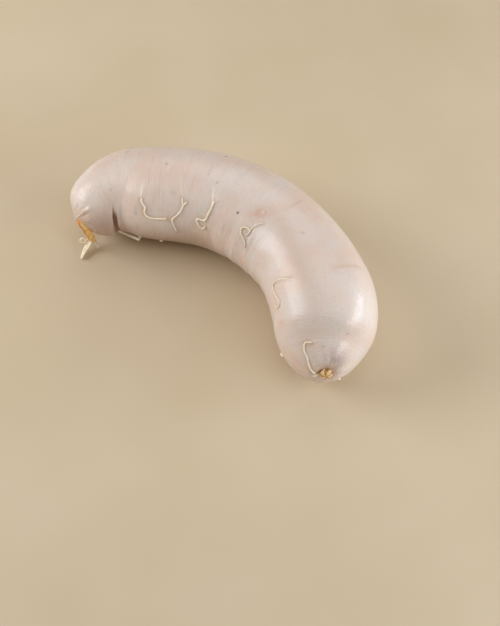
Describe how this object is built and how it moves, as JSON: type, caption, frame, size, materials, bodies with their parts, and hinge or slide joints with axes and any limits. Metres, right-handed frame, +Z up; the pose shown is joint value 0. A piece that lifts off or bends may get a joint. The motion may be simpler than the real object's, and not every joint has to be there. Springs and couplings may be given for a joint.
{
  "type": "white sausage in natural casing",
  "caption": "Plump pale sausage in natural casing, bent in a wide curve, with a dried twisted casing tail at one end and a small tied knot at the other.",
  "frame": {"origin": "centre of the bounding box's bottom, on the surface that the sausage lies on", "axes": "+X along the longest extent, towards the knotted end; +Y towards the outer side of the bend, away from the viewer; +Z up"},
  "size_m": [0.1045, 0.0904, 0.034],
  "materials": {
    "casing": "moist translucent natural casing over pale pinkish-cream meat, soft broad gloss",
    "gut_thread": "cream-white threads of gut, slightly glossy",
    "dried_casing": "amber dried casing, half translucent, slightly glossy"
  },
  "bodies": {
    "root": {"sausage": "casing"}
  },
  "joints": []
}
